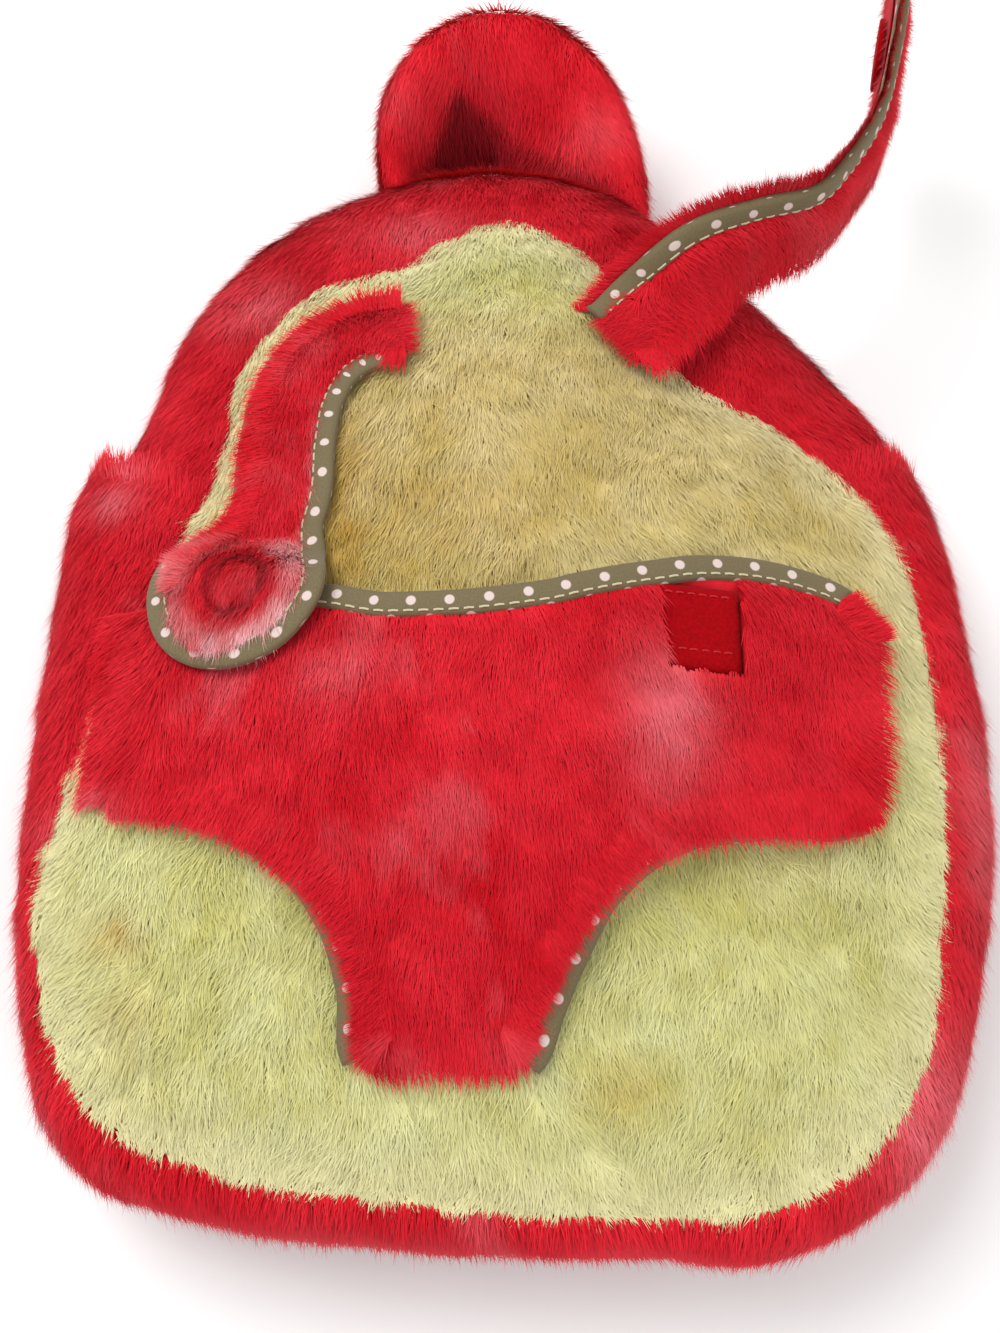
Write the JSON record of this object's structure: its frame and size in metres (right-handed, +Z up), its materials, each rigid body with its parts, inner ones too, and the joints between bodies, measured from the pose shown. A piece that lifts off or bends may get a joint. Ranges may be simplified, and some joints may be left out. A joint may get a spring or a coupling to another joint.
{
  "type": "plush backpack with toy harness",
  "caption": "Hollow plush backpack lying on its shoulder straps: domed front panel, padded grab handle and a nappy-shaped front harness with hook-and-loop straps for carrying a soft toy.",
  "frame": {"origin": "middle of the underside of the whole part's box, on the surface that it lies on", "axes": "+Y towards the bag's top and handle, +X to the right as its front is seen, +Z up out of its front"},
  "size_m": [0.3106, 0.4518, 0.1094],
  "materials": {
    "yellow_plush": "pale yellow short-pile plush",
    "red_plush": "bright red short-pile plush, mottled paler",
    "dotted_tape": "olive-brown woven binding with pale dots and a pale stitch line",
    "loop_felt": "dark red loop fastener with two dashed stitch lines",
    "zip_tape": "red woven zip tape with moulded teeth",
    "red_webbing": "red ribbed webbing",
    "red_plastic": "satin red moulded plastic"
  },
  "bodies": {
    "root": {"front_panel": "yellow_plush", "back_panel": "red_plush", "gusset_lower": "red_plush", "gusset_upper_front": "red_plush", "gusset_upper_back": "red_plush", "zip_chain": "zip_tape", "zip_slider": "red_plastic", "zip_pull": "red_plastic", "grab_handle": "red_plush", "harness_body": "red_plush", "harness_binding_top": "dotted_tape", "harness_binding_left_leg": "dotted_tape", "harness_binding_right_leg": "dotted_tape", "closure_patch_right": "loop_felt", "closure_patch_left": "loop_felt", "hook_tab_left": "loop_felt", "hook_tab_right": "loop_felt", "harness_strap_left": "red_plush", "harness_strap_left_binding": "dotted_tape", "harness_strap_right": "red_plush", "harness_strap_right_binding": "dotted_tape", "shoulder_strap_left": "red_plush", "shoulder_strap_right": "red_plush", "strap_adjuster_left": "red_plastic", "strap_adjuster_right": "red_plastic", "strap_webbing_left": "red_webbing", "strap_webbing_right": "red_webbing"}
  },
  "joints": []
}
